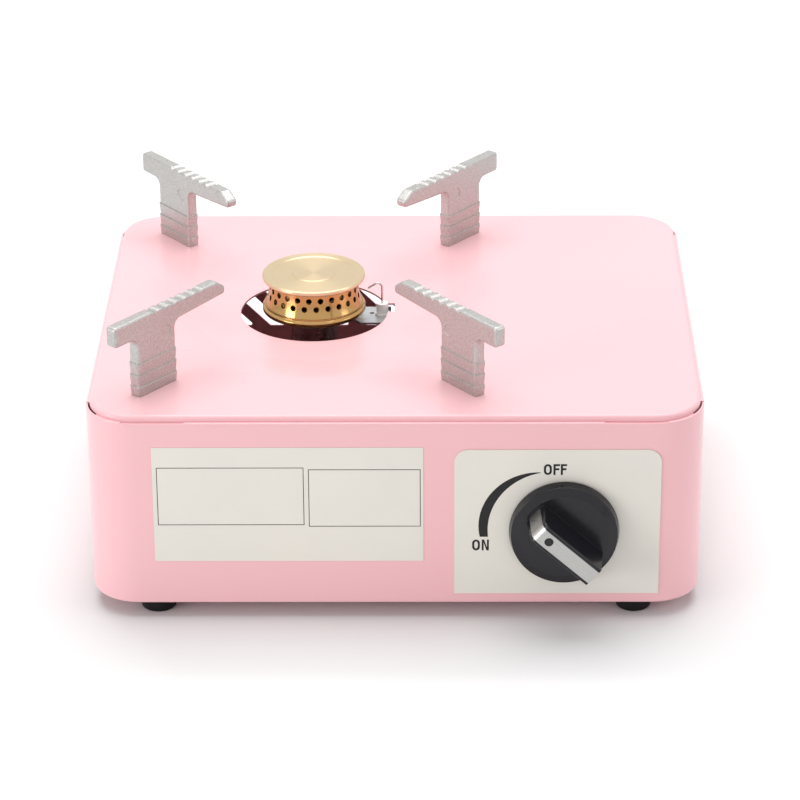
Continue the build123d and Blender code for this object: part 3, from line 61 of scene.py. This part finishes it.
# ---------------------------------------------------------------- material helpers
class Look:
    """One procedural material, built round its Principled shader."""

    def __init__(self, name, colour, roughness, metallic=0.0, **sockets):
        self.material = bpy.data.materials.new(name)
        self.material.use_nodes = True
        self.tree = self.material.node_tree
        self.shader = self.tree.nodes["Principled BSDF"]
        self.colour = colour
        self.roughness = roughness
        self.set("Base Color", (*colour, 1.0))
        self.set("Roughness", roughness)
        self.set("Metallic", metallic)
        for socket, value in sockets.items():
            self.set(socket.replace("_", " "), value)
        self.place = self.add("ShaderNodeTexCoord").outputs["Object"]

    def set(self, socket, value):
        self.shader.inputs[socket].default_value = value

    def add(self, kind, inputs=None, **properties):
        node = self.tree.nodes.new(kind)
        for name, value in properties.items():
            setattr(node, name, value)
        for socket, value in (inputs or {}).items():
            if isinstance(value, bpy.types.NodeSocket):
                self.tree.links.new(value, node.inputs[socket])
            else:
                node.inputs[socket].default_value = value
        return node

    def link(self, output, socket):
        self.tree.links.new(output, self.shader.inputs[socket])

    def scaled(self, vector, factors):
        """The place times a factor along each axis: features grow along the small ones."""
        node = self.add("ShaderNodeMapping", {"Vector": vector, "Scale": factors})
        return node.outputs["Vector"]

    def noise(self, scale, detail=2.0, vector=None, rough=0.5):
        where = vector or self.place
        inputs = {"Vector": where, "Scale": scale, "Detail": detail, "Roughness": rough}
        return self.add("ShaderNodeTexNoise", inputs).outputs["Fac"]

    def cells(self, scale):
        node = self.add("ShaderNodeTexVoronoi", {"Vector": self.place, "Scale": scale})
        return node.outputs["Color"]

    def between(self, value, low, high, out_low=0.0, out_high=1.0):
        inputs = {
            "Value": value,
            "From Min": low,
            "From Max": high,
            "To Min": out_low,
            "To Max": out_high,
        }
        return self.add("ShaderNodeMapRange", inputs).outputs["Result"]

    def vary_colour(self, value, low, high, shift):
        """Moves the base colour to itself times shift, as value goes from low to high."""
        factor = self.between(value, low, high)
        other = [min(1.0, c * s) for c, s in zip(self.colour, shift)]
        self.mix_colour(factor, (*other, 1.0))

    def mix_colour(self, factor, other):
        """Adds one more mix to whatever feeds the base colour."""
        socket = self.shader.inputs["Base Color"]
        node = self.add("ShaderNodeMix", data_type="RGBA")
        first, second = [i for i in node.inputs if i.type == "RGBA"]
        if socket.is_linked:
            self.tree.links.new(socket.links[0].from_socket, first)
        else:
            first.default_value = (*self.colour, 1.0)
        second.default_value = other
        self.tree.links.new(factor, node.inputs["Factor"])
        result = [o for o in node.outputs if o.type == "RGBA"][0]
        self.tree.links.new(result, socket)

    def vary_roughness(self, value, low, high, spread):
        start, end = self.roughness - spread, self.roughness + spread
        self.link(self.between(value, low, high, start, end), "Roughness")

    def bump(self, height, distance, strength=1.0):
        """Adds a bump of the given height in metres on top of the bumps before it."""
        inputs = {"Height": height, "Distance": distance, "Strength": strength}
        node = self.add("ShaderNodeBump", inputs)
        socket = self.shader.inputs["Normal"]
        if socket.is_linked:
            self.tree.links.new(socket.links[0].from_socket, node.inputs["Normal"])
        self.tree.links.new(node.outputs["Normal"], socket)

    def soften_edges(self, radius):
        """Rounds sharp edges in the shading, as a tumbled or painted edge is."""
        node = self.add("ShaderNodeBevel", {"Radius": radius}, samples=4)
        self.tree.links.new(node.outputs["Normal"], self.shader.inputs["Normal"])

    def from_axis(self, axis_point, plane_axes):
        """(offset vector, distance) from an axis, measured across the two named axes."""
        offset = self.add(
            "ShaderNodeVectorMath", {0: self.place, 1: axis_point}, operation="SUBTRACT"
        ).outputs[0]
        keep = [1.0 if name in plane_axes else 0.0 for name in "xyz"]
        flat = self.add("ShaderNodeVectorMath", {0: offset, 1: keep}, operation="MULTIPLY")
        length = self.add("ShaderNodeVectorMath", {0: flat.outputs[0]}, operation="LENGTH")
        return flat.outputs[0], length.outputs["Value"]

    def turned(self, axis_point, axis, plane_axes):
        """Grain that runs round an axis, as a lathe leaves it."""
        flat, distance = self.from_axis(axis_point, plane_axes)
        tangent = self.add("ShaderNodeVectorMath", {0: axis, 1: flat}, operation="CROSS_PRODUCT")
        unit = self.add("ShaderNodeVectorMath", {0: tangent.outputs[0]}, operation="NORMALIZE")
        self.link(unit.outputs[0], "Tangent")
        return distance


# ---------------------------------------------------------------- materials
def pink_enamel():
    colour = (0.880, 0.505, 0.535)
    look = Look("pink_enamel", colour, 0.34, Coat_Weight=0.35, Coat_Roughness=0.12)
    look.soften_edges(enamel_edge)
    look.vary_colour(look.noise(6.0, 2.0), 0.35, 0.65, (1.0, 0.975, 0.98))
    look.vary_roughness(look.noise(60.0, 3.0), 0.3, 0.7, 0.03)
    return look.material


def cast_support():
    look = Look("cast_support", (0.445, 0.435, 0.42), 0.40, 0.9)
    look.soften_edges(cast_edge)
    grain = look.noise(1500.0, 3.0, rough=0.7)
    look.vary_colour(grain, 0.42, 0.60, (1.24, 1.24, 1.24))
    look.vary_roughness(look.noise(900.0, 2.0), 0.3, 0.7, 0.10)
    look.bump(grain, 0.04 * MM, 0.7)
    look.bump(look.noise(300.0, 2.0), 0.12 * MM, 0.30)
    return look.material


def brass_cap():
    look = Look("brass_cap", (0.72, 0.575, 0.37), 0.32, 1.0, Anisotropic=0.7)
    look.set("Anisotropic Rotation", quarter_turn)
    look.soften_edges(turned_edge)
    distance = look.turned(burner_axis, round_axis, "xy")
    rings = look.add("ShaderNodeCombineXYZ", {"X": distance}).outputs[0]
    fine = look.noise(5200.0, 2.0, rings)
    look.vary_colour(fine, 0.3, 0.7, (1.06, 1.06, 1.04))
    look.vary_roughness(fine, 0.3, 0.7, 0.05)
    look.bump(fine, 0.010 * MM, 0.5)
    return look.material


def brass_band():
    look = Look("brass_band", (0.50, 0.31, 0.125), 0.18, 1.0, Anisotropic=0.3)
    look.set("Anisotropic Rotation", quarter_turn)
    look.soften_edges(metal_edge)
    look.turned(burner_axis, round_axis, "xy")
    smudge = look.noise(220.0, 3.0)
    look.vary_colour(smudge, 0.35, 0.7, (1.04, 0.97, 0.85))
    look.vary_roughness(smudge, 0.3, 0.7, 0.06)
    drawn = look.scaled(look.place, (1.0, 1.0, 6.0))
    look.bump(look.noise(900.0, 1.0, drawn), 0.01 * MM, 0.5)
    return look.material


def metal(name, colour, roughness, grain_scale, spangle=0.0, metallic=1.0):
    """Plain machined, plated or cast metal with a fine grain and, if asked, zinc spangle."""
    look = Look(name, colour, roughness, metallic)
    look.soften_edges(metal_edge)
    grain = look.noise(grain_scale, 3.0, rough=0.6)
    look.vary_colour(grain, 0.3, 0.7, (0.86, 0.86, 0.86))
    look.vary_roughness(grain, 0.3, 0.7, 0.08)
    look.bump(grain, 0.02 * MM, 0.6)
    if spangle:
        facets = look.add("ShaderNodeSeparateColor", {"Color": look.cells(180.0)}).outputs[0]
        shade = [c * (1.0 - spangle) for c in colour]
        look.mix_colour(look.between(facets, 0.0, 1.0, 0.0, 0.9), (*shade, 1.0))
    return look.material


def plain(name, colour, roughness, grain_scale, depth, shift=0.85, **sockets):
    """Moulded plastic, rubber, ceramic or print with a fine grain."""
    look = Look(name, colour, roughness, **sockets)
    look.soften_edges(moulded_edge)
    grain = look.noise(grain_scale, 3.0)
    look.vary_colour(grain, 0.3, 0.7, (shift, shift, shift))
    look.vary_roughness(grain, 0.3, 0.7, 0.05)
    look.bump(grain, depth * MM, 0.6)
    return look.material


def bright_strip():
    look = Look("bright_strip", (0.47, 0.47, 0.455), 0.30, 1.0, Anisotropic=0.5)
    look.soften_edges(turned_edge)
    turned = look.add(
        "ShaderNodeVectorRotate",
        {"Vector": look.place, "Axis": (0.0, 1.0, 0.0), "Angle": pointer_turn},
        rotation_type="AXIS_ANGLE",
    ).outputs[0]
    brushed = look.noise(900.0, 2.0, look.scaled(turned, (0.05, 1.0, 6.0)))
    look.vary_colour(brushed, 0.3, 0.7, (0.90, 0.90, 0.90))
    look.vary_roughness(brushed, 0.3, 0.7, 0.05)
    look.bump(brushed, 0.003 * MM, 0.5)
    along = (cos(pointer_turn), 0.0, sin(pointer_turn))
    look.link(look.add("ShaderNodeCombineXYZ", dict(zip("XYZ", along))).outputs[0], "Tangent")
    return look.material


def cream_print():
    look = Look("cream_plate", (0.785, 0.75, 0.68), 0.50)
    look.soften_edges(print_edge)
    look.vary_colour(look.noise(35.0, 3.0), 0.35, 0.65, (0.97, 0.975, 0.985))
    look.vary_roughness(look.noise(300.0, 2.0), 0.3, 0.7, 0.05)
    look.bump(look.noise(1500.0, 2.0), 0.004 * MM, 0.6)
    return look.material


looks = {
    "pink_enamel": pink_enamel(),
    "cast_support": cast_support(),
    "brass_cap": brass_cap(),
    "brass_band": brass_band(),
    "brass_fitting": metal("brass_fitting", (0.80, 0.60, 0.30), 0.32, 900.0),
    "dark_steel": metal("dark_steel", (0.70, 0.64, 0.63), 0.22, 500.0),
    "galvanised": metal("galvanised", (0.66, 0.67, 0.68), 0.42, 400.0, spangle=0.25),
    "steel": metal("steel", (0.58, 0.58, 0.59), 0.30, 900.0),
    "die_cast": metal("die_cast", (0.55, 0.55, 0.56), 0.55, 600.0, metallic=0.8),
    "magnet": metal("magnet", (0.10, 0.10, 0.11), 0.60, 500.0, metallic=0.3),
    "ceramic": plain("ceramic", (0.93, 0.92, 0.90), 0.18, 300.0, 0.01, 0.97, Coat_Weight=0.3),
    "black_plastic": plain(
        "black_plastic", (0.008, 0.0075, 0.011), 0.20, 900.0, 0.002, Specular_IOR_Level=0.4
    ),
    "cream_plate": cream_print(),
    "bright_strip": bright_strip(),
    "rubber": plain("rubber", (0.010, 0.009, 0.009), 0.55, 900.0, 0.02, Specular_IOR_Level=0.2),
    "red_lead": plain("red_lead", (0.42, 0.045, 0.035), 0.45, 500.0, 0.01),
    "piezo_plastic": plain("piezo_plastic", (0.55, 0.06, 0.05), 0.30, 600.0, 0.01),
}
for subpart in frame["record"]["subparts"]:
    node = frame["nodes"][subpart["node"]]
    node.data.materials.clear()
    node.data.materials.append(looks[subpart["material_slot"]])

ink = plain("black_ink", (0.016, 0.015, 0.015), 0.50, 1500.0, 0.002, Specular_IOR_Level=0.3)


# ---------------------------------------------------------------- printed marks
def print_mark(name, loops, front_y, body="stove"):
    """Flat ink on an upright face: each loop is a list of (x, z) in mm, filled between even
    and odd loops, and given a little depth."""
    mesh = bmesh.new()
    edges = []
    for loop in loops:
        ring = [mesh.verts.new((x * MM, front_y - ink_depth, z * MM)) for x, z in loop]
        edges += [mesh.edges.new((a, b)) for a, b in zip(ring, ring[1:] + ring[:1])]
    bmesh.ops.triangle_fill(mesh, edges=edges, use_beauty=True)
    bmesh.ops.recalc_face_normals(mesh, faces=mesh.faces)
    if sum(face.normal.y for face in mesh.faces) > 0:
        bmesh.ops.reverse_faces(mesh, faces=mesh.faces)
    sides = bmesh.ops.extrude_edge_only(mesh, edges=[e for e in mesh.edges if e.is_boundary])
    for item in sides["geom"]:
        if isinstance(item, bmesh.types.BMVert):
            item.co.y += 2 * ink_depth
    data = bpy.data.meshes.new(name)
    mesh.to_mesh(data)
    mesh.free()
    data.materials.append(ink)
    piece = bpy.data.objects.new(name, data)
    collection.objects.link(piece)
    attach(piece, body)
    return piece


def arc_through(first, middle, last, steps):
    """Points of the circle arc through three points, from first to last."""
    (ax, ay), (bx, by), (cx, cy) = first, middle, last
    d = 2 * (ax * (by - cy) + bx * (cy - ay) + cx * (ay - by))
    a2, b2, c2 = ax * ax + ay * ay, bx * bx + by * by, cx * cx + cy * cy
    ox = (a2 * (by - cy) + b2 * (cy - ay) + c2 * (ay - by)) / d
    oy = (a2 * (cx - bx) + b2 * (ax - cx) + c2 * (bx - ax)) / d
    radius = ((ax - ox) ** 2 + (ay - oy) ** 2) ** 0.5
    start = atan2(ay - oy, ax - ox)
    sweep = (atan2(cy - oy, cx - ox) - start + pi) % tau - pi
    turns = [start + sweep * i / steps for i in range(steps + 1)]
    return [(ox + radius * cos(t), oy + radius * sin(t)) for t in turns]


def oval(left, right, bottom, top, bend, steps=10):
    """A letter O outline: straight sides with half an ellipse at the top and at the bottom."""
    across = (right - left) / 2
    middle = (left + right) / 2
    points = []
    for centre_z, half in ((top - bend, 0), (bottom + bend, 1)):
        for i in range(steps + 1):
            turn = (half + i / steps) * pi
            points.append((middle + across * cos(turn), centre_z + bend * sin(turn)))
    return points


def letter_o(left, width, bottom, height, stroke):
    right, top = left + width, bottom + height
    outer = oval(left, right, bottom, top, 0.34 * height)
    inner = oval(
        left + stroke, right - stroke, bottom + stroke, top - stroke, 0.34 * height - 0.6 * stroke
    )
    return [outer, inner]


def letter_f(left, width, bottom, height, stroke):
    top = bottom + height
    bar = bottom + 0.44 * height
    return [
        [
            (left, bottom),
            (left + stroke, bottom),
            (left + stroke, bar),
            (left + 0.9 * width, bar),
            (left + 0.9 * width, bar + stroke),
            (left + stroke, bar + stroke),
            (left + stroke, top - stroke),
            (left + width, top - stroke),
            (left + width, top),
            (left, top),
        ]
    ]


def letter_n(left, width, bottom, height, stroke):
    right, top = left + width, bottom + height
    lean = 1.55 * stroke
    return [
        [
            (left, bottom),
            (left + 0.9 * stroke, bottom),
            (left + 0.9 * stroke, top - lean),
            (right - 1.1 * stroke, bottom),
            (right, bottom),
            (right, top),
            (right - 0.9 * stroke, top),
            (right - 0.9 * stroke, bottom + lean),
            (left + 1.1 * stroke, top),
            (left, top),
        ]
    ]


# ---------------------------------------------------------------- places of the marks (mm)
stroke = 0.86
off_bottom, off_height = 64.1, 4.75
off_letters = [(letter_o, 58.7, 3.15), (letter_f, 62.45, 2.6), (letter_f, 65.35, 2.45)]
on_bottom, on_height = 30.6, 4.85
on_letters = [(letter_o, 30.6, 3.1), (letter_n, 34.4, 2.85)]
arc_outer = [(33.6, 36.7), (39.6, 57.9), (57.4, 65.25)]
arc_inner = [(36.9, 36.7), (43.3, 57.0), (57.4, 65.0)]
arc_steps = 48
rule = 0.28
left_frame = {"left": -94.0, "right": -35.9, "bottom": 41.9, "top": 67.3}
right_frame = {"left": -34.1, "right": 10.2, "bottom": 41.2, "top": 66.5}


def word(letters, bottom, height):
    """Loops of a word, from (shape, left edge, width) of each letter."""
    loops = []
    for shape, left, width in letters:
        loops += shape(left, width, bottom, height, stroke)
    return loops


def frame_loops(left, right, bottom, top):
    outer = [(left, bottom), (right, bottom), (right, top), (left, top)]
    inner = [
        (left + rule, bottom + rule),
        (right - rule, bottom + rule),
        (right - rule, top - rule),
        (left + rule, top - rule),
    ]
    return [outer, inner]


print_mark("print_off", word(off_letters, off_bottom, off_height), plate_front_y)
print_mark("print_on", word(on_letters, on_bottom, on_height), plate_front_y)
outer_edge = arc_through(*arc_outer, arc_steps)
inner_edge = arc_through(*arc_inner, arc_steps)
print_mark("print_flame_arc", [outer_edge + inner_edge[::-1]], plate_front_y)
print_mark("print_frame_left", frame_loops(**left_frame), label_front_y)
print_mark("print_frame_right", frame_loops(**right_frame), label_front_y)

# ---------------------------------------------------------------- floor, world and lamps
floor_half = 4.0
floor_lit, floor_shown = (0.90, 0.90, 0.90, 1.0), (0.83, 0.83, 0.83, 1.0)
sky_lit, sky_shown = (0.53, 0.53, 0.535, 1.0), (1.0, 1.0, 1.0, 1.0)


def shown_rays(nodes, links):
    """1 for rays that look at the background, straight, mirrored or through glass."""
    path = nodes.new("ShaderNodeLightPath")
    total = path.outputs["Is Camera Ray"]
    for name in ("Is Glossy Ray", "Is Transmission Ray"):
        node = nodes.new("ShaderNodeMath")
        node.operation = "MAXIMUM"
        links.new(total, node.inputs[0])
        links.new(path.outputs[name], node.inputs[1])
        total = node.outputs[0]
    return total


def two_shades(nodes, links, lit, shown):
    """One colour for the light that falls on the object, and one where the background is seen."""
    mix = nodes.new("ShaderNodeMix")
    mix.data_type = "RGBA"
    first, second = [s for s in mix.inputs if s.type == "RGBA"]
    first.default_value = lit
    second.default_value = shown
    links.new(shown_rays(nodes, links), mix.inputs["Factor"])
    return [s for s in mix.outputs if s.type == "RGBA"][0]


floor_mesh = bmesh.new()
signs = [(-1, -1), (1, -1), (1, 1), (-1, 1)]
corners = [floor_mesh.verts.new((x * floor_half, y * floor_half, 0)) for x, y in signs]
floor_mesh.faces.new(corners)
floor_data = bpy.data.meshes.new("floor")
floor_mesh.to_mesh(floor_data)
floor_mesh.free()
floor = bpy.data.objects.new("floor", floor_data)
collection.objects.link(floor)

floor_look = bpy.data.materials.new("floor")
floor_look.use_nodes = True
floor_nodes, floor_links = floor_look.node_tree.nodes, floor_look.node_tree.links
floor_nodes.remove(floor_nodes["Principled BSDF"])
diffuse = floor_nodes.new("ShaderNodeBsdfDiffuse")
floor_shade = two_shades(floor_nodes, floor_links, floor_lit, floor_shown)
floor_links.new(floor_shade, diffuse.inputs["Color"])
floor_links.new(diffuse.outputs[0], floor_nodes["Material Output"].inputs["Surface"])
floor_data.materials.append(floor_look)

world = bpy.data.worlds.new("studio")
scene.world = world
world.use_nodes = True
world_nodes, world_links = world.node_tree.nodes, world.node_tree.links
sky_shade = two_shades(world_nodes, world_links, sky_lit, sky_shown)
world_links.new(sky_shade, world_nodes["Background"].inputs["Color"])

lamp_target = (0.0, 0.0, 0.05)


def softbox(name, place, size, power, mirrored=True):
    """A rectangular lamp aimed at the object; it can light it without showing in its gloss."""
    data = bpy.data.lights.new(name, "AREA")
    data.shape = "RECTANGLE"
    data.size, data.size_y = size
    data.energy = power
    lamp = bpy.data.objects.new(name, data)
    lamp.location = place
    lamp.rotation_euler = (Vector(lamp_target) - Vector(place)).to_track_quat("-Z", "Y").to_euler()
    lamp.visible_glossy = mirrored
    collection.objects.link(lamp)


softbox("top_box", (0.0, 0.2, 1.5), (1.5, 1.2), 16.0)
softbox("back_box", (0.0, 0.80, 1.45), (1.5, 0.35), 9.0, mirrored=False)
softbox("left_box", (-1.3, -0.9, 0.35), (0.7, 0.6), 7.5)
softbox("right_box", (1.4, -0.3, 0.6), (0.5, 0.9), 1.9)

# ---------------------------------------------------------------- camera
yaw, pitch, roll = radians(-0.6607), radians(25.414), radians(-0.3727)
camera_place = (0.016244, -1.302836, 0.671018)
forward = Vector((sin(yaw) * cos(pitch), cos(yaw) * cos(pitch), -sin(pitch)))
level = Vector((cos(yaw), -sin(yaw), 0.0))
upright = level.cross(forward)
right = cos(roll) * level + sin(roll) * upright
up = -sin(roll) * level + cos(roll) * upright
camera_data = bpy.data.cameras.new("camera")
camera_data.sensor_width = 36.0
camera_data.lens = 154.56
camera = bpy.data.objects.new("camera", camera_data)
turn = Matrix((right, up, -forward)).transposed().to_4x4()
camera.matrix_world = Matrix.Translation(camera_place) @ turn
collection.objects.link(camera)
scene.camera = camera

scene.view_settings.view_transform = "Standard"
